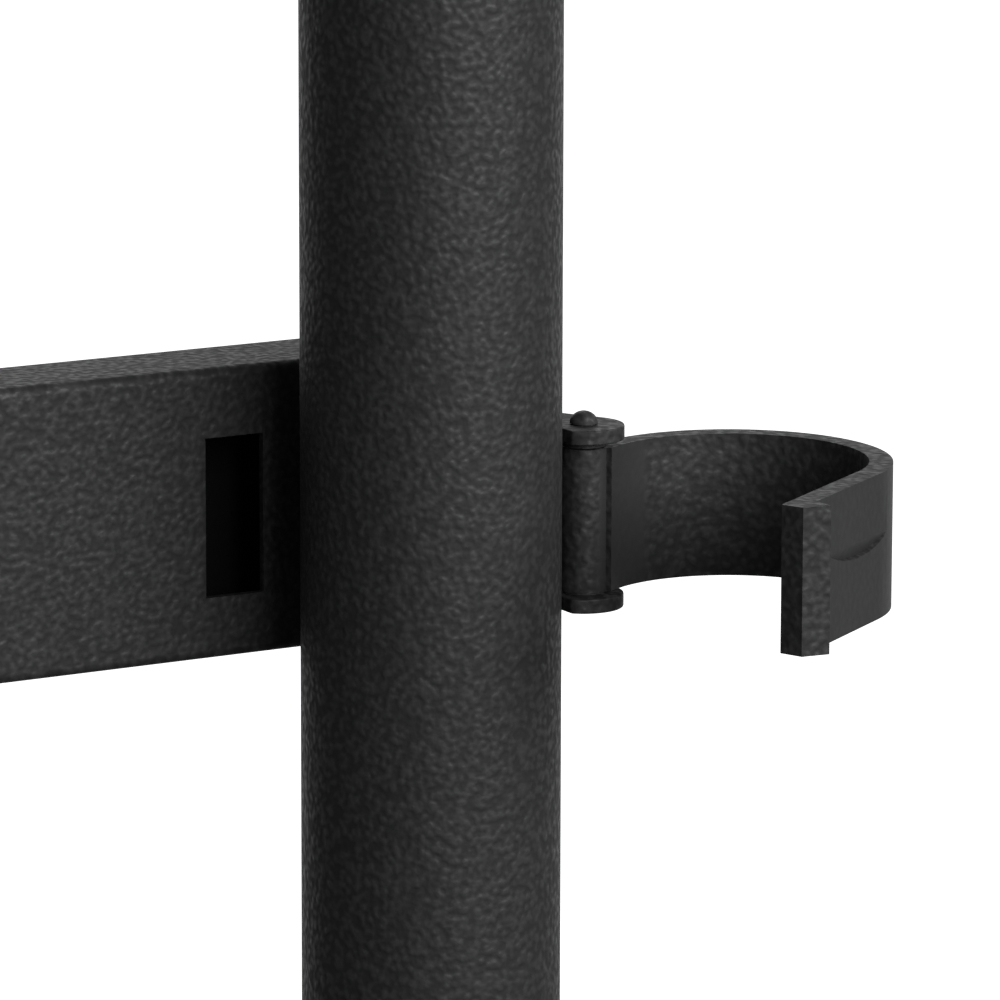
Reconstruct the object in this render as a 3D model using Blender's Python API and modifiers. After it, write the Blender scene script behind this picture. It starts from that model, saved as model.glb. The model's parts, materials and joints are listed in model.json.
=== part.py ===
"""Quick-release post clamp on a rectangular arm, for street furniture.

A round post stands in a curved cradle on the front face of a box-section arm. A hinged strap swings round
the post and its hook goes through a slot in the arm, where a sliding bolt keeps it. The strap is shown open.

Frame: metres, +Z up, origin at the centre of the post's lower end. The post's axis is Z, the arm runs along X
behind the post (+Y), and heights of the clamp are given from the arm's centre line.
"""

import math

import bmesh
import bpy
from mathutils import Matrix, Vector

MM = 0.001
GAP = 0.3 * MM                      # between pieces that rest on, or are let into, each other

# Post
POST_RADIUS = 44.45 * MM
POST_WALL = 3.2 * MM
POST_LENGTH = 400.0 * MM

# Arm: a rectangular hollow section along X
ARM_HEIGHT = 101.6 * MM
ARM_DEPTH = 40.0 * MM
ARM_WALL = 3.0 * MM
ARM_CORNER = 3.5 * MM               # outer corner radius
ARM_FRONT = 54.0 * MM               # Y of the face that the post stands against
ARM_LEFT = -178.0 * MM
ARM_RIGHT = 62.0 * MM
ARM_CENTRE = 200.0 * MM             # height of the arm's centre line

# Slot in the arm's front face that the hook goes through
SLOT_LEFT = -57.9 * MM
SLOT_RIGHT = -35.6 * MM
SLOT_BOTTOM = -29.1 * MM
SLOT_TOP = 26.7 * MM

# Hinge
HINGE_X = 55.5 * MM
HINGE_Y = -7.8 * MM
PIN_RADIUS = 4.0 * MM
PIN_HEAD_RADIUS = 4.9 * MM
PIN_HEAD_HEIGHT = 4.3 * MM
BARREL_RADIUS = 8.6 * MM
BARREL_BORE = 5.9 * MM
BUSH_BORE = 4.15 * MM
BUSH_OUTER = 5.6 * MM
BUSH_LENGTH = 14.0 * MM

# Ears: two flat plates, above and below the strap
EAR_THICKNESS = 5.0 * MM
EAR_END_RADIUS = 14.0 * MM          # round end about the pin
EAR_OUTER_RADIUS = 58.0 * MM        # back edge, about the post's axis
EAR_LEFT = -16.0 * MM
EAR_PIN_HOLE = 4.3 * MM
UPPER_EAR_BOTTOM = 26.6 * MM
LOWER_EAR_TOP = -27.0 * MM
POST_CLEARANCE_RADIUS = 45.2 * MM   # the ears stay outside the post and its way out

# Cradle: a curved bar behind the post, between the ears
CRADLE_INNER_RADIUS = 44.8 * MM
CRADLE_OUTER_RADIUS = 53.6 * MM
CRADLE_START = math.radians(7.0)
CRADLE_END = math.radians(108.0)
CRADLE_SCREW_SPACING = 30.0 * MM

# Strap: a curved bar with a straight tail that ends in a hook
STRAP_INNER_RADIUS = 45.5 * MM
STRAP_THICKNESS = 8.1 * MM
STRAP_HEIGHT = 50.0 * MM
STRAP_BOTTOM = -26.0 * MM
STRAP_OPEN_ANGLE = math.radians(133.2)
TAIL_LEAN = math.radians(9.9)       # of the closed tail, from straight towards the arm
# Hook corners, each (along the tail from where it leaves the ring, outwards from the post's axis)
HOOK_INNER_TIP = (62.0 * MM, 45.5 * MM)
HOOK_NOSE = (63.8 * MM, 54.0 * MM)
HOOK_BARB = (56.0 * MM, 60.5 * MM)
HOOK_ROOT = (52.0 * MM, 53.6 * MM)

# Thumb scoop in the tail's outer face: a shallow lens with a curved lower edge
SCOOP_WIDTH = 52.0 * MM
SCOOP_DROP = 5.0 * MM
SCOOP_DEPTH = 1.8 * MM
SCOOP_ALONG = 16.5 * MM
SCOOP_TOP = 4.0 * MM

# Latch bolt that slides along the arm, behind the slot's outer edge
BOLT_TIP_X = -58.6 * MM
BOLT_LENGTH = 62.0 * MM
BOLT_FRONT = 57.4 * MM
BOLT_THICKNESS = 7.0 * MM
BOLT_NOSE = 3.0 * MM                # flat part of the tip, in front of its sloped back
BOLT_BOTTOM = -19.0 * MM
BOLT_TOP = 17.0 * MM
GUIDE_LEFT = -124.0 * MM
GUIDE_RIGHT = -64.0 * MM
GUIDE_WALL = 3.0 * MM
GUIDE_LIP = 4.0 * MM
GUIDE_SCREWS_X = (-112.0 * MM, -76.0 * MM)

ROUND_SEGMENTS = 96
SMALL_SEGMENTS = 32

BLACK_COAT = (0.030, 0.030, 0.032, 1.0)
ZINC = (0.45, 0.46, 0.47, 1.0)
STEEL = (0.40, 0.40, 0.41, 1.0)
NYLON = (0.05, 0.05, 0.05, 1.0)
BLACK_PLASTIC = (0.020, 0.020, 0.021, 1.0)


# ---------------------------------------------------------------- scene, materials and basic shapes

def clear_scene():
    for item in list(bpy.data.objects):
        bpy.data.objects.remove(item, do_unlink=True)


def new_collection(name):
    collection = bpy.data.collections.new(name)
    bpy.context.scene.collection.children.link(collection)
    return collection


def add_material(item, colour, roughness, metallic):
    material = bpy.data.materials.new(item.name)
    material.use_nodes = True
    shader = material.node_tree.nodes["Principled BSDF"]
    shader.inputs["Base Color"].default_value = colour
    shader.inputs["Roughness"].default_value = roughness
    shader.inputs["Metallic"].default_value = metallic
    item.data.materials.append(material)


def coated(item):
    add_material(item, BLACK_COAT, 0.55, 0.0)


def plated(item):
    add_material(item, ZINC, 0.35, 1.0)


def plain_steel(item):
    add_material(item, STEEL, 0.40, 1.0)


def moulded(item):
    add_material(item, BLACK_PLASTIC, 0.45, 0.0)


def bearing_plastic(item):
    add_material(item, NYLON, 0.50, 0.0)


def place(name, mesh, collection, location=(0.0, 0.0, 0.0), turn=0.0):
    item = bpy.data.objects.new(name, mesh)
    item.location = location
    item.rotation_euler = (0.0, 0.0, turn)
    collection.objects.link(item)
    mesh.shade_smooth()
    mesh.set_sharp_from_angle(angle=math.radians(30.0))
    return item


def box_mesh(low, high):
    """A box between two corners."""
    low, high = Vector(low), Vector(high)
    mesh = bpy.data.meshes.new("box")
    shape = bmesh.new()
    bmesh.ops.create_cube(shape, size=1.0)
    size = high - low
    bmesh.ops.scale(shape, vec=size, verts=shape.verts)
    bmesh.ops.translate(shape, vec=(low + high) / 2.0, verts=shape.verts)
    shape.to_mesh(mesh)
    shape.free()
    return mesh


def rod_mesh(radius, start, end, segments=SMALL_SEGMENTS):
    """A cylinder from one point to another."""
    start, end = Vector(start), Vector(end)
    along = end - start
    matrix = Matrix.Translation((start + end) / 2.0) @ along.to_track_quat("Z", "Y").to_matrix().to_4x4()
    mesh = bpy.data.meshes.new("rod")
    shape = bmesh.new()
    bmesh.ops.create_cone(shape, cap_ends=True, segments=segments, radius1=radius, radius2=radius,
                          depth=along.length, matrix=matrix)
    shape.to_mesh(mesh)
    shape.free()
    return mesh


def plate_mesh(outline, low, high):
    """A flat plate: a closed outline in X and Y, filled between two heights."""
    curve = bpy.data.curves.new("outline", "CURVE")
    curve.dimensions = "2D"
    curve.fill_mode = "BOTH"
    curve.extrude = (high - low) / 2.0
    spline = curve.splines.new("POLY")
    spline.points.add(len(outline) - 1)
    for point, (x, y) in zip(spline.points, outline):
        point.co = (x, y, 0.0, 1.0)
    spline.use_cyclic_u = True
    guide = bpy.data.objects.new("outline", curve)
    bpy.context.scene.collection.objects.link(guide)
    depsgraph = bpy.context.evaluated_depsgraph_get()
    mesh = bpy.data.meshes.new_from_object(guide.evaluated_get(depsgraph))
    bpy.data.objects.remove(guide, do_unlink=True)
    shape = bmesh.new()
    shape.from_mesh(mesh)
    bmesh.ops.remove_doubles(shape, verts=shape.verts, dist=0.00001)
    bmesh.ops.translate(shape, vec=(0.0, 0.0, (low + high) / 2.0), verts=shape.verts)
    shape.to_mesh(mesh)
    shape.free()
    return mesh


def turned(name, profile, collection, location, closed, segments=SMALL_SEGMENTS, tilt=0.0):
    """A turned piece: a profile of (radius, height) points, swept round Z and then tilted about X.

    A closed profile stays clear of the axis and makes a ring; an open one starts and ends on the axis.
    """
    mesh = bpy.data.meshes.new(name)
    shape = bmesh.new()
    points = [shape.verts.new((radius, 0.0, height)) for radius, height in profile]
    for first, second in zip(points, points[1:]):
        shape.edges.new((first, second))
    if closed:
        shape.edges.new((points[-1], points[0]))
    shape.to_mesh(mesh)
    shape.free()
    item = bpy.data.objects.new(name, mesh)
    collection.objects.link(item)
    item.location = location
    item.rotation_euler = (tilt, 0.0, 0.0)
    screw = item.modifiers.new("turn", "SCREW")
    screw.steps = segments
    screw.render_steps = segments
    screw.use_merge_vertices = True
    screw.merge_threshold = 0.000001
    screw.use_smooth_shade = True
    return item


def ring_profile(inner, outer, low, high):
    """A rectangle that turns into a plain ring, run down its outer side."""
    return [(outer, high), (outer, low), (inner, low), (inner, high)]


def combine(item, mesh, operation, cutters):
    """Cut a mesh out of an object, or join it on. The mesh is given in the object's own space."""
    tool = bpy.data.objects.new(item.name + "_" + operation.lower(), mesh)
    tool.matrix_world = item.matrix_basis
    tool.hide_render = True
    tool.display_type = "WIRE"
    cutters.objects.link(tool)
    boolean = item.modifiers.new(operation.lower(), "BOOLEAN")
    boolean.operation = operation
    boolean.solver = "EXACT"
    boolean.object = tool


def arc(centre, radius, start, end, steps):
    """Points along an arc, both ends included."""
    angles = [start + (end - start) * step / steps for step in range(steps + 1)]
    return [(centre[0] + radius * math.cos(angle), centre[1] + radius * math.sin(angle)) for angle in angles]


def rounded_rectangle(width, height, radius, steps=4):
    """The outline of a rectangle about the origin, with round corners."""
    outline = []
    corners = ((1, 1), (-1, 1), (-1, -1), (1, -1))
    for index, (side, end) in enumerate(corners):
        centre = (side * (width / 2.0 - radius), end * (height / 2.0 - radius))
        start = index * math.pi / 2.0
        outline += arc(centre, radius, start, start + math.pi / 2.0, steps)
    return outline


def section_mesh(width, height, radius, left, right):
    """A rounded rectangle (depth along Y, height along Z), extruded along X between two ends."""
    mesh = plate_mesh(rounded_rectangle(width, height, radius), left, right)
    # the outline's X becomes Y, its Y becomes Z and the extrusion becomes X
    mesh.transform(Matrix(((0, 0, 1, 0), (1, 0, 0, 0), (0, 1, 0, 0), (0, 0, 0, 1))))
    return mesh


# ---------------------------------------------------------------- post

def make_post(part):
    height = (2.0 * MM + GAP, POST_LENGTH - 2.0 * MM - GAP)
    profile = ring_profile(POST_RADIUS - POST_WALL, POST_RADIUS, *height)
    coated(turned("post_tube", profile, part, (0, 0, 0), True, ROUND_SEGMENTS))


def make_post_cap(part, name, plate_z, inward):
    """A plug cap: a round plate with a hollow spigot that points into the post."""
    spigot = POST_RADIUS - POST_WALL - GAP
    heights = {"plate": 2.0 * MM, "spigot": 14.0 * MM, "wall": 2.5 * MM}
    profile = [(0.0, 0.0), (POST_RADIUS - 0.6 * MM, 0.0), (POST_RADIUS, 0.6 * MM),
               (POST_RADIUS, heights["plate"]),
               (spigot, heights["plate"]), (spigot, heights["spigot"]),
               (spigot - heights["wall"], heights["spigot"]),
               (spigot - heights["wall"], heights["plate"] + 0.5 * MM),
               (0.0, heights["plate"] + 0.5 * MM)]
    if inward < 0:
        profile = [(radius, -height) for radius, height in profile]
    else:
        profile = profile[::-1]
    moulded(turned(name, profile, part, (0, 0, plate_z), False, ROUND_SEGMENTS))


# ---------------------------------------------------------------- arm

def arm_middle():
    return ARM_FRONT + ARM_DEPTH / 2.0


def make_arm(part, cutters):
    plate = 2.0 * MM + GAP
    tube = place("arm_tube",
                 section_mesh(ARM_DEPTH, ARM_HEIGHT, ARM_CORNER, ARM_LEFT + plate, ARM_RIGHT - plate),
                 part, (0.0, arm_middle(), ARM_CENTRE))
    inside = section_mesh(ARM_DEPTH - 2 * ARM_WALL, ARM_HEIGHT - 2 * ARM_WALL, 1.0 * MM,
                          ARM_LEFT - 5 * MM, ARM_RIGHT + 5 * MM)
    combine(tube, inside, "DIFFERENCE", cutters)
    front = -ARM_DEPTH / 2.0
    slot = box_mesh((SLOT_LEFT, front - 2 * MM, SLOT_BOTTOM),
                    (SLOT_RIGHT, front + ARM_WALL + 2 * MM, SLOT_TOP))
    combine(tube, slot, "DIFFERENCE", cutters)
    for height in cradle_screw_heights():
        hole = rod_mesh(4.6 * MM, (0, front - 2 * MM, height), (0, front + ARM_WALL + 2 * MM, height))
        combine(tube, hole, "DIFFERENCE", cutters)
    back = ARM_DEPTH / 2.0
    for x in GUIDE_SCREWS_X:
        hole = rod_mesh(2.5 * MM, (x, back - ARM_WALL - 2 * MM, guide_middle()),
                        (x, back + 2 * MM, guide_middle()))
        combine(tube, hole, "DIFFERENCE", cutters)
    coated(tube)


def make_arm_cap(part, cutters, name, outer_end, inward):
    """A plug cap for the arm: a plate over the end and a hollow spigot inside it."""
    plate = sorted((outer_end, outer_end + inward * 2.0 * MM))
    cap = place(name, section_mesh(ARM_DEPTH, ARM_HEIGHT, ARM_CORNER, *plate), part,
                (0.0, arm_middle(), ARM_CENTRE))
    inner = (ARM_DEPTH - 2 * (ARM_WALL + GAP), ARM_HEIGHT - 2 * (ARM_WALL + GAP))
    spigot = sorted((outer_end + inward * 1.0 * MM, outer_end + inward * 16.0 * MM))
    combine(cap, section_mesh(inner[0], inner[1], 1.0 * MM, *spigot), "UNION", cutters)
    hollow = sorted((outer_end + inward * 2.5 * MM, outer_end + inward * 20.0 * MM))
    wall = 4.0 * MM
    combine(cap, section_mesh(inner[0] - wall, inner[1] - wall, 0.8 * MM, *hollow), "DIFFERENCE", cutters)
    moulded(cap)


# ---------------------------------------------------------------- cradle and its screws

def cradle_screw_heights():
    middle = (UPPER_EAR_BOTTOM + LOWER_EAR_TOP) / 2.0
    return (middle - CRADLE_SCREW_SPACING / 2.0, middle + CRADLE_SCREW_SPACING / 2.0)


def make_cradle(part, cutters):
    outline = arc((0, 0), CRADLE_OUTER_RADIUS, CRADLE_START, CRADLE_END, 32)
    outline += arc((0, 0), CRADLE_INNER_RADIUS, CRADLE_END, CRADLE_START, 32)
    mesh = plate_mesh(outline, LOWER_EAR_TOP + GAP, UPPER_EAR_BOTTOM - GAP)
    cradle = place("cradle_band", mesh, part, (0, 0, ARM_CENTRE))
    for height in cradle_screw_heights():
        hole = rod_mesh(2.8 * MM, (0, 40 * MM, height), (0, 60 * MM, height))
        combine(cradle, hole, "DIFFERENCE", cutters)
        sink = rod_mesh(5.5 * MM, (0, 40 * MM, height), (0, 48.6 * MM, height))
        combine(cradle, sink, "DIFFERENCE", cutters)
    coated(cradle)


def make_cradle_fasteners(part):
    """A countersunk screw from inside the cradle, and a rivet nut in the arm's wall, at each height."""
    quarter_turn = -math.pi / 2.0
    for index, height in enumerate(cradle_screw_heights(), start=1):
        place_z = ARM_CENTRE + height
        screw = [(0.0, 22.0 * MM), (2.4 * MM, 22.0 * MM), (2.4 * MM, 3.0 * MM), (5.1 * MM, 3.0 * MM),
                 (5.1 * MM, 0.4 * MM), (4.7 * MM, 0.0), (2.0 * MM, 0.0), (2.0 * MM, 1.6 * MM),
                 (0.0, 1.6 * MM)]
        seat = (0, 45.3 * MM, place_z)
        plated(turned(f"cradle_screw_{index}", screw, part, seat, False, tilt=quarter_turn))
        nut = [(4.3 * MM, 0.0), (4.3 * MM, -3.4 * MM), (5.6 * MM, -4.4 * MM), (5.6 * MM, -6.4 * MM),
               (4.3 * MM, -7.6 * MM), (4.3 * MM, -14.0 * MM), (2.7 * MM, -14.0 * MM), (2.7 * MM, 0.0)]
        plated(turned(f"rivet_nut_{index}", nut, part, (0, ARM_FRONT, place_z), True, tilt=-quarter_turn))


# ---------------------------------------------------------------- hinge ears, pin and washers

def ear_outline():
    """Round end about the pin, a tangent to the back edge, and the arm's face."""
    distance = math.hypot(HINGE_X, HINGE_Y)
    hinge_angle = math.atan2(HINGE_Y, HINGE_X)
    tangent = hinge_angle + math.acos((EAR_OUTER_RADIUS - EAR_END_RADIUS) / distance)
    face = ARM_FRONT - GAP
    outline = arc((HINGE_X, HINGE_Y), EAR_END_RADIUS, tangent - math.pi, tangent, 20)
    outline += arc((0, 0), EAR_OUTER_RADIUS, tangent, math.asin(face / EAR_OUTER_RADIUS), 8)
    return outline + [(EAR_LEFT, face), (EAR_LEFT, 30 * MM), (20 * MM, 10 * MM)]


def make_ear(part, cutters, name, low):
    high = low + EAR_THICKNESS
    ear = place(name, plate_mesh(ear_outline(), low, high), part, (0, 0, ARM_CENTRE))
    below, above = low - 2 * MM, high + 2 * MM
    combine(ear, rod_mesh(POST_CLEARANCE_RADIUS, (0, 0, below), (0, 0, above), ROUND_SEGMENTS),
            "DIFFERENCE", cutters)
    way_out = box_mesh((-POST_CLEARANCE_RADIUS, -40 * MM, below), (POST_CLEARANCE_RADIUS, 0, above))
    combine(ear, way_out, "DIFFERENCE", cutters)
    combine(ear, rod_mesh(EAR_PIN_HOLE, (HINGE_X, HINGE_Y, below), (HINGE_X, HINGE_Y, above)),
            "DIFFERENCE", cutters)
    return ear


def make_ears(part, cutters):
    coated(make_ear(part, cutters, "upper_hinge_ear", UPPER_EAR_BOTTOM))
    low = LOWER_EAR_TOP - EAR_THICKNESS
    lower = make_ear(part, cutters, "lower_hinge_ear", low)
    recess = rod_mesh(7.0 * MM, (HINGE_X, HINGE_Y, low - 2 * MM), (HINGE_X, HINGE_Y, low + 1.8 * MM))
    combine(lower, recess, "DIFFERENCE", cutters)
    coated(lower)


def make_pin(part):
    """A pin with a domed head on the upper ear and a groove for its retaining ring in the lower one."""
    seat = UPPER_EAR_BOTTOM + EAR_THICKNESS + GAP
    foot = LOWER_EAR_TOP - EAR_THICKNESS + 0.2 * MM
    groove = (foot + 0.5 * MM, foot + 1.5 * MM)
    steps = 8
    dome = []
    for step in range(steps + 1):
        angle = math.pi / 2.0 * (1.0 - step / steps)
        dome.append((PIN_HEAD_RADIUS * math.cos(angle), seat + PIN_HEAD_HEIGHT * math.sin(angle)))
    dome[0] = (0.0, seat + PIN_HEAD_HEIGHT)
    profile = dome + [(PIN_RADIUS, seat), (PIN_RADIUS, groove[1]), (3.2 * MM, groove[1]), (3.2 * MM, groove[0]),
                      (PIN_RADIUS, groove[0]), (PIN_RADIUS, foot + 0.3 * MM), (PIN_RADIUS - 0.3 * MM, foot),
                      (0.0, foot)]
    pin = turned("hinge_pin", profile, part, (HINGE_X, HINGE_Y, ARM_CENTRE), False)
    coated(pin)
    ring = ring_profile(3.4 * MM, 6.4 * MM, groove[0] + 0.1 * MM, groove[1] - 0.1 * MM)
    plain_steel(turned("pin_retaining_ring", ring, part, (HINGE_X, HINGE_Y, ARM_CENTRE), True))


def make_washers(part):
    strap_top = STRAP_BOTTOM + STRAP_HEIGHT
    upper = ring_profile(BUSH_BORE, 7.4 * MM, strap_top + GAP, strap_top + GAP + 1.2 * MM)
    bearing_plastic(turned("upper_washer", upper, part, (HINGE_X, HINGE_Y, ARM_CENTRE), True))
    lower = ring_profile(BUSH_BORE, 7.8 * MM, LOWER_EAR_TOP + 0.25 * MM, STRAP_BOTTOM - 0.25 * MM)
    bearing_plastic(turned("lower_thrust_washer", lower, part, (HINGE_X, HINGE_Y, ARM_CENTRE), True))


# ---------------------------------------------------------------- strap

def tail_frame():
    """Unit vectors along the closed tail and outwards from it."""
    along = Vector((math.sin(TAIL_LEAN), math.cos(TAIL_LEAN)))
    outwards = Vector((-math.cos(TAIL_LEAN), math.sin(TAIL_LEAN)))
    return along, outwards


def closed_point(corner):
    """A hook corner as X and Y from the hinge axis, with the strap closed."""
    along, outwards = tail_frame()
    point = along * corner[0] + outwards * corner[1]
    return (point.x - HINGE_X, point.y - HINGE_Y)


def strap_outline():
    """The ring from the barrel round to the tail, then the hook and back, about the hinge axis."""
    centre = (-HINGE_X, -HINGE_Y)
    tail_angle = math.pi - TAIL_LEAN
    barrel_angle = 2.0 * math.pi + math.atan2(HINGE_Y, HINGE_X)
    outer = STRAP_INNER_RADIUS + STRAP_THICKNESS
    outline = arc(centre, outer, tail_angle, barrel_angle, 48)
    outline += arc(centre, STRAP_INNER_RADIUS, barrel_angle, tail_angle, 48)
    hook = (HOOK_INNER_TIP, HOOK_NOSE, HOOK_BARB, HOOK_ROOT)
    return outline + [closed_point(corner) for corner in hook]


def scoop_mesh():
    """A round-bottomed cutter whose face is tilted, so that it bites deepest at its curved lower edge."""
    half = SCOOP_WIDTH / 2.0
    radius = (half ** 2 + SCOOP_DROP ** 2) / (2.0 * SCOOP_DROP)
    tilt = math.atan2(SCOOP_DEPTH, SCOOP_DROP)
    reach = math.acos(1.0 - SCOOP_DROP / math.cos(tilt) / radius) + math.radians(1.0)
    lowest = -math.pi / 2.0
    # the curve's lowest point is the origin, and the cutter tips back about a level line through it
    mesh = plate_mesh(arc((0, radius), radius, lowest - reach, lowest + reach, 48), 0, 12 * MM)
    mesh.transform(Matrix.Rotation(tilt, 4, "X"))
    along, outwards = tail_frame()
    surface = STRAP_INNER_RADIUS + STRAP_THICKNESS
    deepest = along * SCOOP_ALONG + outwards * (surface - SCOOP_DEPTH)
    across = Vector((-along.x, -along.y, 0.0))
    axes = Matrix((across, (0.0, 0.0, 1.0), (outwards.x, outwards.y, 0.0))).transposed().to_4x4()
    origin = Vector((deepest.x - HINGE_X, deepest.y - HINGE_Y, SCOOP_TOP - SCOOP_DROP))
    mesh.transform(Matrix.Translation(origin) @ axes)
    return mesh


def make_strap(part, cutters, hinge):
    top = STRAP_BOTTOM + STRAP_HEIGHT
    strap = place("clamp_strap", plate_mesh(strap_outline(), STRAP_BOTTOM, top), part)
    strap.parent = hinge
    barrel = rod_mesh(BARREL_RADIUS, (0, 0, STRAP_BOTTOM), (0, 0, top), 48)
    bore = rod_mesh(BARREL_BORE, (0, 0, STRAP_BOTTOM - 2 * MM), (0, 0, top + 2 * MM))
    for mesh, operation in ((barrel, "UNION"), (bore, "DIFFERENCE"), (scoop_mesh(), "DIFFERENCE")):
        combine(strap, mesh, operation, cutters)
        cutters.objects[-1].parent = hinge
    coated(strap)


def make_bushes(part, hinge):
    top = STRAP_BOTTOM + STRAP_HEIGHT
    for name, low in (("lower_bush", STRAP_BOTTOM + GAP), ("upper_bush", top - GAP - BUSH_LENGTH)):
        profile = ring_profile(BUSH_BORE, BUSH_OUTER, low, low + BUSH_LENGTH)
        bush = turned(name, profile, part, (0, 0, 0), True)
        bush.parent = hinge
        bearing_plastic(bush)


def make_strap_assembly(part, cutters):
    hinge = bpy.data.objects.new("strap_hinge_axis", None)
    hinge.location = (HINGE_X, HINGE_Y, ARM_CENTRE)
    hinge.rotation_euler = (0.0, 0.0, STRAP_OPEN_ANGLE)
    part.objects.link(hinge)
    make_strap(part, cutters, hinge)
    make_bushes(part, hinge)


# ---------------------------------------------------------------- latch inside the arm

def guide_middle():
    return (BOLT_BOTTOM + BOLT_TOP) / 2.0


def make_latch_bolt(part):
    """The bolt, drawn back from the slot. Its tip's back edge slopes to lie against the hook's barb."""
    back = BOLT_FRONT + BOLT_THICKNESS
    slope = (BOLT_THICKNESS - BOLT_NOSE) * 1.19
    outline = [(-BOLT_LENGTH, BOLT_FRONT), (0.0, BOLT_FRONT), (0.0, BOLT_FRONT + BOLT_NOSE), (-slope, back),
               (-BOLT_LENGTH, back)]
    bolt = place("latch_bolt", plate_mesh(outline, BOLT_BOTTOM, BOLT_TOP), part, (BOLT_TIP_X, 0, ARM_CENTRE))
    plain_steel(bolt)


def make_latch_guide(part, cutters):
    """A channel round the bolt, open towards the arm's front wall."""
    back = BOLT_FRONT + BOLT_THICKNESS + 0.4 * MM
    clear = 0.4 * MM
    low, high = BOLT_BOTTOM - clear - GUIDE_LIP, BOLT_TOP + clear + GUIDE_LIP
    guide = place("latch_guide",
                  box_mesh((GUIDE_LEFT, BOLT_FRONT, low), (GUIDE_RIGHT, back + GUIDE_WALL, high)),
                  part, (0, 0, ARM_CENTRE))
    channel = box_mesh((GUIDE_LEFT - 5 * MM, BOLT_FRONT - 5 * MM, BOLT_BOTTOM - clear),
                       (GUIDE_RIGHT + 5 * MM, back, BOLT_TOP + clear))
    combine(guide, channel, "DIFFERENCE", cutters)
    for x in GUIDE_SCREWS_X:
        hole = rod_mesh(2.4 * MM, (x, back - 2 * MM, guide_middle()),
                        (x, back + GUIDE_WALL + 2 * MM, guide_middle()))
        combine(guide, hole, "DIFFERENCE", cutters)
    plated(guide)
    return back + GUIDE_WALL


def make_guide_fasteners(part, guide_back):
    """A spacer tube behind the channel and a pan-head screw through the arm's rear wall, at each place."""
    rear = ARM_FRONT + ARM_DEPTH
    height = ARM_CENTRE + guide_middle()
    quarter_turn = -math.pi / 2.0
    for index, x in enumerate(GUIDE_SCREWS_X, start=1):
        length = rear - ARM_WALL - GAP - (guide_back + GAP)
        spacer = ring_profile(2.4 * MM, 4.5 * MM, 0.0, length)
        plain_steel(turned(f"guide_spacer_{index}", spacer, part, (x, guide_back + GAP, height), True,
                           tilt=quarter_turn))
        shank = rear - guide_back + GUIDE_WALL
        head = 2.6 * MM
        screw = [(0.0, head), (1.2 * MM, head), (3.4 * MM, head - 0.4 * MM), (4.2 * MM, head - 1.4 * MM),
                 (4.2 * MM, GAP), (2.1 * MM, GAP), (2.1 * MM, -shank), (0.0, -shank)]
        plated(turned(f"guide_screw_{index}", screw, part, (x, rear, height), False, tilt=quarter_turn))


# ---------------------------------------------------------------- whole part

def main():
    clear_scene()
    part = new_collection("post_clamp")
    cutters = new_collection("cutters")
    make_post(part)
    make_post_cap(part, "post_bottom_cap", 0.0, 1)
    make_post_cap(part, "post_top_cap", POST_LENGTH, -1)
    make_arm(part, cutters)
    make_arm_cap(part, cutters, "arm_outer_end_cap", ARM_LEFT, 1)
    make_arm_cap(part, cutters, "arm_inner_end_cap", ARM_RIGHT, -1)
    make_cradle(part, cutters)
    make_cradle_fasteners(part)
    make_ears(part, cutters)
    make_pin(part)
    make_washers(part)
    make_strap_assembly(part, cutters)
    make_latch_bolt(part)
    guide_back = make_latch_guide(part, cutters)
    make_guide_fasteners(part, guide_back)


main()
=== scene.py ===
"""The looks of the post clamp: its coated steel, plastic caps and small hardware, in a plain pale studio."""

import json
import math

import bmesh
import bpy
from mathutils import Matrix, Vector


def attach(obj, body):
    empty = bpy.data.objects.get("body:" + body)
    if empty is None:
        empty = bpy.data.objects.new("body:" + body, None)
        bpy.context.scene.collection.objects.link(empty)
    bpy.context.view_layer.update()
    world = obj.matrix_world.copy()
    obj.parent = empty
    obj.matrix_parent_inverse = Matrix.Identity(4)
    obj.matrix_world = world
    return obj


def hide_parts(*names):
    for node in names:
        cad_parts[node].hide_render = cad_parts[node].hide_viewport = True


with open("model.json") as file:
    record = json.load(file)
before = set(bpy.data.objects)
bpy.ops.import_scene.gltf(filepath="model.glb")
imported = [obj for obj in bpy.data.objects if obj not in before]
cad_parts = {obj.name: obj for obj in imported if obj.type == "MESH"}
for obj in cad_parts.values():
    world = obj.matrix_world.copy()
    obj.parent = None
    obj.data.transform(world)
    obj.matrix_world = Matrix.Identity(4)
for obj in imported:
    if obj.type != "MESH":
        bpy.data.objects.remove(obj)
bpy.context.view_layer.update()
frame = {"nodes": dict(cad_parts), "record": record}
NODES = frame["nodes"]

MM = 0.001

# View: the camera's place about the middle of the clamp, and how it is turned
CLAMP_CENTRE = Vector((0.0, 0.0, 0.200))
VIEW_AZIMUTH = math.radians(30.08)      # round from straight in front, towards the arm's long end
VIEW_ELEVATION = math.radians(11.586)
VIEW_ROLL = math.radians(0.131)
VIEW_DISTANCE = 2.3154
VIEW_RIGHT = 0.02342                    # how far the view's middle is right of the post's axis
VIEW_UP = 0.00901                       # and above the clamp's centre
SENSOR_WIDTH = 36.0
FOCAL_LENGTH = 6.82 * SENSOR_WIDTH

# Studio air, as background strength
AIR_FRONT = 0.115
AIR_BEHIND = 1.05
AIR_BELOW = 0.70                        # share of it that is left below the clamp
BEHIND_FROM = 0.40                      # cosine of the angle from straight behind where it starts to brighten
BELOW_FROM, BELOW_TO = -0.35, 0.05      # sines of the slopes between which it darkens downwards

FLOOR_RADIUS = 14.0
FLOOR_SIDES = 96
FLOOR_GAP = 0.5 * MM                    # how far the floor lies below the post's lower end
FLOOR_WHITE = 0.90                      # both its own glow and the share of light that it returns

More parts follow.
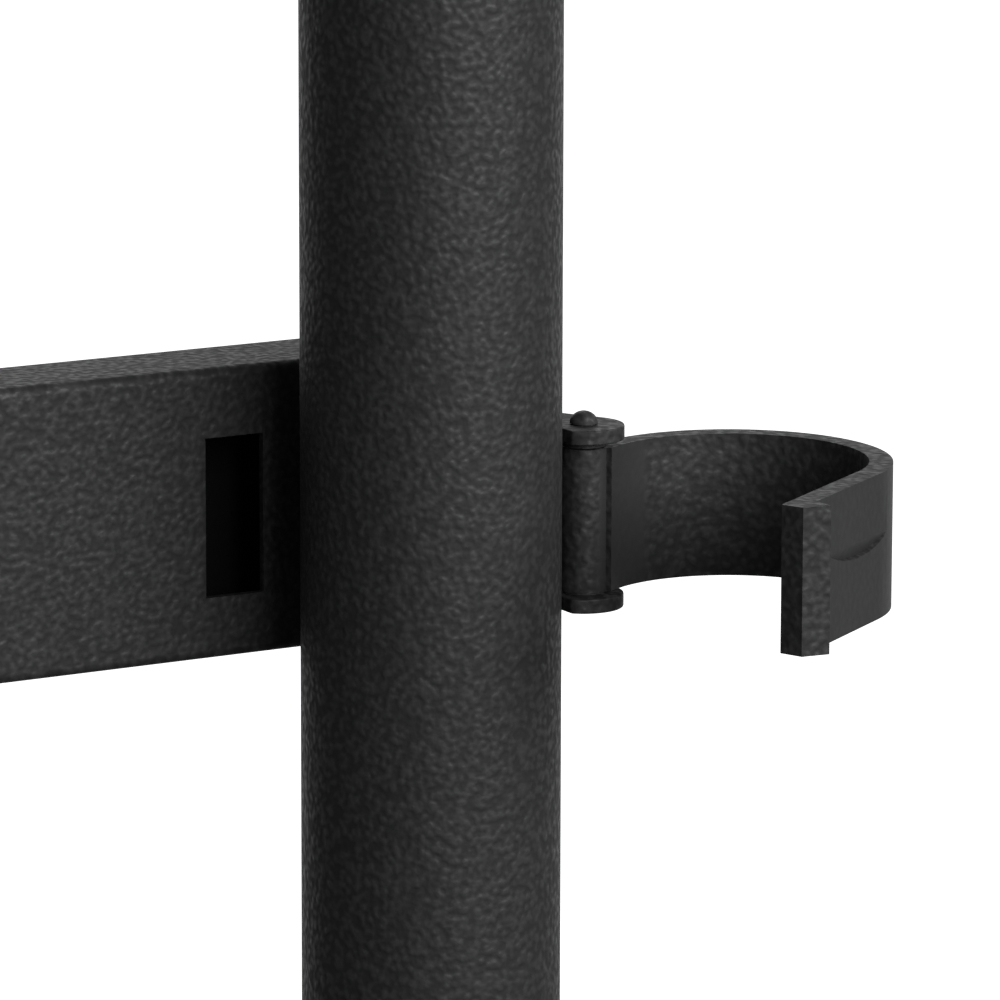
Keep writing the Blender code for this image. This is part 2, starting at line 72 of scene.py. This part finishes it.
# Black coat: how many cells of each pattern there are in a metre, its relief, its tones, and the painted
# shade inside the arm's hollow
COAT_LUMPS = 345.0
COAT_DRIFT = 430.0
COAT_TOOTH = 1900.0
COAT_CLOUD = 24.0
LUMP_SHARE = -0.75                      # negative, as the pattern is the distance from a lump's middle
TOOTH_SHARE = 0.06
CLOUD_SHARE = 0.24
COAT_RELIEF = 0.36 * MM
COAT_LOW, COAT_HIGH = 0.02, 0.42        # heights at which the grain is darkest and lightest
LOW_ROUGHNESS, HIGH_ROUGHNESS = 0.66, 0.50
LUMP_SMOOTHNESS = 0.6
COAT_DARK = (0.0165, 0.0165, 0.0170)
COAT_LIGHT = (0.0375, 0.0375, 0.0388)
# painted shade: the near-black laid over the inside of the arm's hollow, and the roughness there
HOLLOW_PAINTED_SHADE = (0.0015, 0.0015, 0.0015)
HOLLOW_ROUGHNESS = 0.95

# Smoother coat: what the grain and the height are drawn towards, by how much, and on which faces (cosines)
SMOOTH_GRAIN = 0.5
SMOOTH_HEIGHT = 0.22
SMOOTH_SHARE = 0.85
SMOOTH_FROM, SMOOTH_TO = 0.900, 0.935
TAIL_FACES = Vector((0.549, -0.836, 0.0))   # where the strap's flat tail faces when it stands open

# Hidden pieces: cells in a metre, relief, and the range that a noise pattern mostly keeps to
PLASTIC_FLOW = 60.0
PLASTIC_RELIEF = 0.10 * MM
METAL_CLOUD = 90.0
METAL_MARKS = 900.0
METAL_RELIEF = 0.03 * MM
NOISE_LOW, NOISE_HIGH = 0.3, 0.7

# Shapes
ARM_WALL = 3.0 * MM
WALL_SKIN = 0.05 * MM                   # how far the painted shade of the arm's hollow reaches into its wall
JOIN_DISTANCE = 0.01 * MM
FLAT_ANGLE = math.radians(0.6)
SHARP_ANGLE = math.radians(28.0)
EDGE_SEGMENTS = 3
FLAT_FACE_WEIGHT = 90
SOCKET_SCREWS = ("guide_screw_1", "guide_screw_2")
SOCKET_ACROSS = 2.5 * MM
SOCKET_DEPTH = 1.5 * MM

# Pieces with soft edges, and the width of those edges in millimetres
EDGES = {
    "arm_tube": 0.5, "arm_outer_end_cap": 0.5, "arm_inner_end_cap": 0.5,
    "post_tube": 0.4, "post_top_cap": 0.3, "post_bottom_cap": 0.3,
    "clamp_strap": 0.7, "upper_hinge_ear": 0.6, "lower_hinge_ear": 0.6, "cradle_band": 0.6, "hinge_pin": 0.2,
    "latch_bolt": 0.4, "latch_guide": 0.3, "guide_screw_1": 0.15, "guide_screw_2": 0.15,
}


# ---------------------------------------------------------------- material building blocks

class Nodes:
    """A short way to lay out the nodes of a material or a world."""

    def __init__(self, owner, place="Object"):
        owner.use_nodes = True
        self.owner = owner
        self.tree = owner.node_tree
        self.place = self.add("ShaderNodeTexCoord").outputs[place]

    def add(self, kind, **settings):
        node = self.tree.nodes.new(kind)
        for name, value in settings.items():
            setattr(node, name, value)
        return node

    def link(self, source, target):
        self.tree.links.new(source, target)

    def noise(self, scale, detail, place=None):
        node = self.add("ShaderNodeTexNoise")
        node.inputs["Scale"].default_value = scale
        node.inputs["Detail"].default_value = detail
        self.link(place or self.place, node.inputs["Vector"])
        return node.outputs["Fac"]

    def grains(self, scale, smoothness):
        node = self.add("ShaderNodeTexVoronoi", feature="SMOOTH_F1")
        node.inputs["Scale"].default_value = scale
        node.inputs["Smoothness"].default_value = smoothness
        self.link(self.place, node.inputs["Vector"])
        return node.outputs["Distance"]

    def stretch(self, scale):
        node = self.add("ShaderNodeMapping")
        node.inputs["Scale"].default_value = scale
        self.link(self.place, node.inputs["Vector"])
        return node.outputs["Vector"]

    def remap(self, value, low, high, new_low, new_high, **settings):
        node = self.add("ShaderNodeMapRange", **settings)
        for name, number in zip(("From Min", "From Max", "To Min", "To Max"), (low, high, new_low, new_high)):
            node.inputs[name].default_value = number
        self.link(value, node.inputs["Value"])
        return node.outputs["Result"]

    def sum(self, first, second, weight):
        """first + second * weight"""
        node = self.add("ShaderNodeMath", operation="MULTIPLY_ADD")
        self.link(second, node.inputs[0])
        node.inputs[1].default_value = weight
        self.link(first, node.inputs[2])
        return node.outputs["Value"]

    def product(self, first, second):
        node = self.add("ShaderNodeMath", operation="MULTIPLY")
        self.link(first, node.inputs[0])
        self.link(second, node.inputs[1])
        return node.outputs["Value"]

    def shift(self, value, number):
        node = self.add("ShaderNodeMath", operation="ADD")
        self.link(value, node.inputs[0])
        node.inputs[1].default_value = number
        return node.outputs["Value"]

    def along(self, vector, direction):
        """The vector's length along a direction"""
        node = self.add("ShaderNodeVectorMath", operation="DOT_PRODUCT")
        self.link(vector, node.inputs[0])
        node.inputs[1].default_value = direction
        return node.outputs["Value"]

    def fade(self, value, level, factor, share):
        """value, drawn towards level by factor * share"""
        node = self.add("ShaderNodeMix", data_type="FLOAT")
        self.link(self.remap(factor, 0.0, 1.0, 0.0, share), node.inputs["Factor"])
        self.link(value, node.inputs["A"])
        node.inputs["B"].default_value = level
        return node.outputs["Result"]

    def within(self, centre, half_size):
        """1 inside a band of Y and Z in the piece's own space, 0 outside it"""
        parts = self.add("ShaderNodeSeparateXYZ")
        self.link(self.place, parts.inputs["Vector"])
        bands = []
        for axis, name in ((1, "Y"), (2, "Z")):
            band = self.add("ShaderNodeMath", operation="COMPARE")
            self.link(parts.outputs[name], band.inputs[0])
            band.inputs[1].default_value = centre[axis]
            band.inputs[2].default_value = half_size[axis]
            bands.append(band.outputs["Value"])
        return self.product(*bands)

    def facing(self, direction, low, high):
        """1 where the surface faces a direction, 0 away from it"""
        normal = self.add("ShaderNodeTexCoord").outputs["Normal"]
        return self.remap(self.along(normal, direction), low, high, 0.0, 1.0)

    def blend(self, factor, dark, light):
        node = self.add("ShaderNodeMix", data_type="RGBA")
        node.inputs["A"].default_value = (*dark, 1.0)
        node.inputs["B"].default_value = (*light, 1.0)
        self.link(factor, node.inputs["Factor"])
        return node.outputs["Result"]

    def cover(self, colour, factor, over):
        """colour, with another laid over it where factor is 1"""
        node = self.add("ShaderNodeMix", data_type="RGBA")
        self.link(colour, node.inputs["A"])
        node.inputs["B"].default_value = (*over, 1.0)
        self.link(factor, node.inputs["Factor"])
        return node.outputs["Result"]

    def surface(self, colour, roughness, height, relief, settings):
        """The finished material, with other settings of its shader by name."""
        shader = self.tree.nodes["Principled BSDF"]
        bump = self.add("ShaderNodeBump")
        bump.inputs["Distance"].default_value = relief
        self.link(height, bump.inputs["Height"])
        self.link(bump.outputs["Normal"], shader.inputs["Normal"])
        self.link(colour, shader.inputs["Base Color"])
        self.link(roughness, shader.inputs["Roughness"])
        for name, number in settings.items():
            shader.inputs[name].default_value = number
        return self.owner


def powder_coat(name, smooth_towards=None, hollow=None):
    """Black powder coat with a coarse texture: matt grains about 3 mm apart, with a finer tooth on them.

    The coat is smoother on faces that look in the direction smooth_towards, and has near-black painted shade
    in a hollow that is given by its middle and half its size."""
    nodes = Nodes(bpy.data.materials.new(name))
    lumps = nodes.grains(COAT_LUMPS, LUMP_SMOOTHNESS)
    drift = nodes.noise(COAT_DRIFT, detail=0.4)
    tooth = nodes.noise(COAT_TOOTH, detail=1.0)
    cloud = nodes.noise(COAT_CLOUD, detail=3.0)
    height = nodes.sum(nodes.sum(drift, lumps, LUMP_SHARE), tooth, TOOTH_SHARE)
    grain = nodes.remap(height, COAT_LOW, COAT_HIGH, 0.0, 1.0)
    if smooth_towards is not None:
        smooth = nodes.facing(smooth_towards, SMOOTH_FROM, SMOOTH_TO)
        grain = nodes.fade(grain, SMOOTH_GRAIN, smooth, SMOOTH_SHARE)
        height = nodes.fade(height, SMOOTH_HEIGHT, smooth, SMOOTH_SHARE)
    tone = nodes.shift(nodes.sum(grain, cloud, CLOUD_SHARE), -CLOUD_SHARE / 2.0)
    colour = nodes.blend(tone, COAT_DARK, COAT_LIGHT)
    roughness = nodes.remap(grain, 0.0, 1.0, LOW_ROUGHNESS, HIGH_ROUGHNESS)
    # painted shade: the inside of the hollow is coloured near-black and made rougher, so that it reflects
    # less
    if hollow is not None:
        inside = nodes.within(*hollow)
        colour = nodes.cover(colour, inside, HOLLOW_PAINTED_SHADE)
        roughness = nodes.fade(roughness, HOLLOW_ROUGHNESS, inside, 1.0)
    return nodes.surface(colour, roughness, height, COAT_RELIEF, {"Specular IOR Level": 0.42})


def moulded_plastic(name, dark, light, roughness, grain):
    """Moulded plastic with a fine even grain and faint flow marks."""
    nodes = Nodes(bpy.data.materials.new(name))
    fine = nodes.noise(grain, detail=2.0)
    flow = nodes.noise(PLASTIC_FLOW, detail=2.0, place=nodes.stretch((1.0, 1.0, 0.2)))
    colour = nodes.blend(nodes.sum(fine, flow, 0.4), dark, light)
    uneven = nodes.remap(flow, NOISE_LOW, NOISE_HIGH, roughness - 0.06, roughness + 0.08)
    return nodes.surface(colour, uneven, fine, PLASTIC_RELIEF, {"Specular IOR Level": 0.45})


def metal(name, dark, light, roughness, streak):
    """Bare or plated steel: cloudy tone and fine marks drawn out along one direction."""
    nodes = Nodes(bpy.data.materials.new(name))
    cloud = nodes.noise(METAL_CLOUD, detail=3.0)
    marks = nodes.noise(METAL_MARKS, detail=3.0, place=nodes.stretch(streak))
    colour = nodes.blend(nodes.sum(cloud, marks, 0.5), dark, light)
    uneven = nodes.remap(marks, NOISE_LOW, NOISE_HIGH, roughness - 0.07, roughness + 0.09)
    return nodes.surface(colour, uneven, marks, METAL_RELIEF, {"Metallic": 1.0})


# ---------------------------------------------------------------- pieces

def finished(node, name, edge, material, body):
    """A CAD node's shape with soft edges: faces joined up again where flat, then bevelled."""
    mesh = NODES[node].data.copy()
    mesh.name = name
    shape = bmesh.new()
    shape.from_mesh(mesh)
    bmesh.ops.remove_doubles(shape, verts=shape.verts, dist=JOIN_DISTANCE)
    bmesh.ops.dissolve_limit(shape, angle_limit=FLAT_ANGLE, verts=shape.verts, edges=shape.edges)
    shape.to_mesh(mesh)
    shape.free()
    for attribute in [a.name for a in mesh.attributes if a.name in ("custom_normal", "UVMap")]:
        mesh.attributes.remove(mesh.attributes[attribute])
    mesh.shade_smooth()
    mesh.materials.clear()
    mesh.materials.append(material)
    piece = bpy.data.objects.new(name, mesh)
    bpy.context.scene.collection.objects.link(piece)
    if node in SOCKET_SCREWS:
        cut_socket(piece)
    bevel = piece.modifiers.new("soft_edges", "BEVEL")
    bevel.width = edge
    bevel.segments = EDGE_SEGMENTS
    bevel.limit_method = "ANGLE"
    bevel.angle_limit = SHARP_ANGLE
    bevel.miter_outer = "MITER_ARC"
    weighted = piece.modifiers.new("flat_faces", "WEIGHTED_NORMAL")
    weighted.mode = "FACE_AREA"
    weighted.weight = FLAT_FACE_WEIGHT
    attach(piece, body)
    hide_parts(node)
    return piece


def cut_socket(piece):
    """A hexagon socket in the head of a screw whose head faces the back."""
    points = [vertex.co for vertex in piece.data.vertices]
    back = max(point.y for point in points)
    middle = sum(points, Vector()) / len(points)
    bpy.ops.mesh.primitive_cylinder_add(vertices=6, radius=SOCKET_ACROSS / math.sqrt(3.0),
                                        depth=2.0 * SOCKET_DEPTH, location=(middle.x, back, middle.z),
                                        rotation=(math.pi / 2.0, 0.0, 0.0))
    cutter = bpy.context.object
    socket = piece.modifiers.new("socket", "BOOLEAN")
    socket.operation = "DIFFERENCE"
    socket.solver = "EXACT"
    socket.object = cutter
    cut = piece.evaluated_get(bpy.context.evaluated_depsgraph_get())
    piece.data = bpy.data.meshes.new_from_object(cut)
    piece.modifiers.clear()
    bpy.data.objects.remove(cutter)


def body_of(node):
    bodies = frame["record"]["behaviour"]["bodies"]
    return next(body for body, members in bodies.items() if node in members)


def slot_of(node):
    return next(s["material_slot"] for s in frame["record"]["subparts"] if s["node"] == node)


def arm_hollow():
    """The middle of the arm's tube and half the size of its hollow, in the arm's own space."""
    points = [vertex.co for vertex in NODES["arm_tube"].data.vertices]
    low = Vector(min(point[axis] for point in points) for axis in range(3))
    high = Vector(max(point[axis] for point in points) for axis in range(3))
    wall = Vector((0.0, 1.0, 1.0)) * (ARM_WALL - WALL_SKIN)
    return (low + high) / 2.0, (high - low) / 2.0 - wall


def make_materials():
    """A material for each slot of the record; the strap and the arm have coats of their own, the arm's with
    painted shade in its hollow.
    """
    turned_back = NODES["clamp_strap"].matrix_world.to_3x3().inverted()
    return {
        "black_coat": powder_coat("black_powder_coat"),
        "clamp_strap": powder_coat("strap_powder_coat", smooth_towards=turned_back @ TAIL_FACES),
        # the arm's coat has painted shade inside its hollow
        "arm_tube": powder_coat("arm_powder_coat_painted_shade", hollow=arm_hollow()),
        "black_plastic": moulded_plastic("black_cap_plastic", dark=(0.010, 0.010, 0.011),
                                         light=(0.028, 0.028, 0.029), roughness=0.62, grain=1600.0),
        "nylon": moulded_plastic("black_nylon", dark=(0.030, 0.030, 0.031),
                                 light=(0.055, 0.055, 0.056), roughness=0.42, grain=2600.0),
        "zinc_plate": metal("bright_zinc", dark=(0.38, 0.40, 0.42), light=(0.62, 0.63, 0.63),
                            roughness=0.34, streak=(1.0, 1.0, 1.0)),
        "plain_steel": metal("drawn_steel", dark=(0.30, 0.30, 0.31), light=(0.50, 0.50, 0.51),
                             roughness=0.38, streak=(0.06, 1.0, 1.0)),
    }


def make_pieces():
    """Soft-edged copies of the pieces in EDGES; the others keep their CAD mesh and get its material."""
    materials = make_materials()
    for node, item in NODES.items():
        slot = slot_of(node)
        material = materials.get(node, materials[slot])
        if node in EDGES:
            piece = finished(node, node + "_finish", EDGES[node] * MM, material, body_of(node))
        else:
            item.data.materials.clear()
            item.data.materials.append(material)


# ---------------------------------------------------------------- studio and camera

def floor_paint():
    """Plain white floor with a glow of its own, so that it stays white all the way back."""
    material = bpy.data.materials.new("floor_paint")
    material.use_nodes = True
    shader = material.node_tree.nodes["Principled BSDF"]
    shader.inputs["Base Color"].default_value = (FLOOR_WHITE, FLOOR_WHITE, FLOOR_WHITE, 1.0)
    shader.inputs["Roughness"].default_value = 1.0
    shader.inputs["Specular IOR Level"].default_value = 0.0
    shader.inputs["Emission Color"].default_value = (1.0, 1.0, 1.0, 1.0)
    shader.inputs["Emission Strength"].default_value = FLOOR_WHITE
    return material


def make_floor():
    """A round floor that neither lights the clamp nor shows in its reflections."""
    bpy.ops.mesh.primitive_circle_add(vertices=FLOOR_SIDES, radius=FLOOR_RADIUS, fill_type="NGON",
                                      location=(0.0, 0.0, -FLOOR_GAP))
    floor = bpy.context.object
    floor.name = "studio_floor"
    floor.data.materials.append(floor_paint())
    floor.visible_diffuse = False
    floor.visible_glossy = False


def make_world():
    """Dim studio air that brightens towards the white background behind the clamp."""
    world = bpy.data.worlds.new("studio_air")
    nodes = Nodes(world, place="Generated")
    behind = nodes.along(nodes.place, (math.sin(VIEW_AZIMUTH), math.cos(VIEW_AZIMUTH), 0.0))
    upward = nodes.along(nodes.place, (0.0, 0.0, 1.0))
    bright = nodes.remap(behind, BEHIND_FROM, 1.0, AIR_FRONT, AIR_BEHIND, interpolation_type="SMOOTHSTEP")
    share = nodes.remap(upward, BELOW_FROM, BELOW_TO, AIR_BELOW, 1.0, interpolation_type="SMOOTHSTEP")
    background = nodes.tree.nodes["Background"]
    background.inputs["Color"].default_value = (1.0, 1.0, 1.0, 1.0)
    nodes.link(nodes.product(bright, share), background.inputs["Strength"])
    bpy.context.scene.world = world


def soft_box(name, azimuth, elevation, distance, size, power):
    """An area light that faces the clamp, placed by its direction from it in degrees."""
    azimuth, elevation = math.radians(azimuth), math.radians(elevation)
    towards = Vector((-math.sin(azimuth) * math.cos(elevation), -math.cos(azimuth) * math.cos(elevation),
                      math.sin(elevation)))
    light = bpy.data.lights.new(name, "AREA")
    light.shape = "RECTANGLE"
    light.size, light.size_y = size
    light.energy = power
    lamp = bpy.data.objects.new(name, light)
    lamp.location = CLAMP_CENTRE + towards * distance
    lamp.rotation_euler = towards.to_track_quat("Z", "Y").to_euler()
    bpy.context.scene.collection.objects.link(lamp)


def make_camera():
    """The camera looks at the clamp from the front, over the arm's long end."""
    sin_a, cos_a = math.sin(VIEW_AZIMUTH), math.cos(VIEW_AZIMUTH)
    sin_e, cos_e = math.sin(VIEW_ELEVATION), math.cos(VIEW_ELEVATION)
    right = Vector((cos_a, -sin_a, 0.0))
    ahead = Vector((sin_a * cos_e, cos_a * cos_e, -sin_e))
    up = Vector((sin_a * sin_e, cos_a * sin_e, cos_e))
    rolled_right = right * math.cos(VIEW_ROLL) + up * math.sin(VIEW_ROLL)
    rolled_up = up * math.cos(VIEW_ROLL) - right * math.sin(VIEW_ROLL)
    camera = bpy.data.cameras.new("camera")
    camera.lens = FOCAL_LENGTH
    camera.sensor_width = SENSOR_WIDTH
    holder = bpy.data.objects.new("camera", camera)
    axes = Matrix((rolled_right, rolled_up, -ahead)).transposed().to_4x4()
    place = CLAMP_CENTRE + rolled_right * VIEW_RIGHT + rolled_up * VIEW_UP - ahead * VIEW_DISTANCE
    holder.matrix_world = Matrix.Translation(place) @ axes
    bpy.context.scene.collection.objects.link(holder)
    bpy.context.scene.camera = holder


make_pieces()
make_floor()
make_world()
soft_box("key", azimuth=-16.0, elevation=22.0, distance=2.8, size=(3.6, 1.3), power=93.0)
make_camera()
bpy.context.scene.view_settings.view_transform = "Standard"
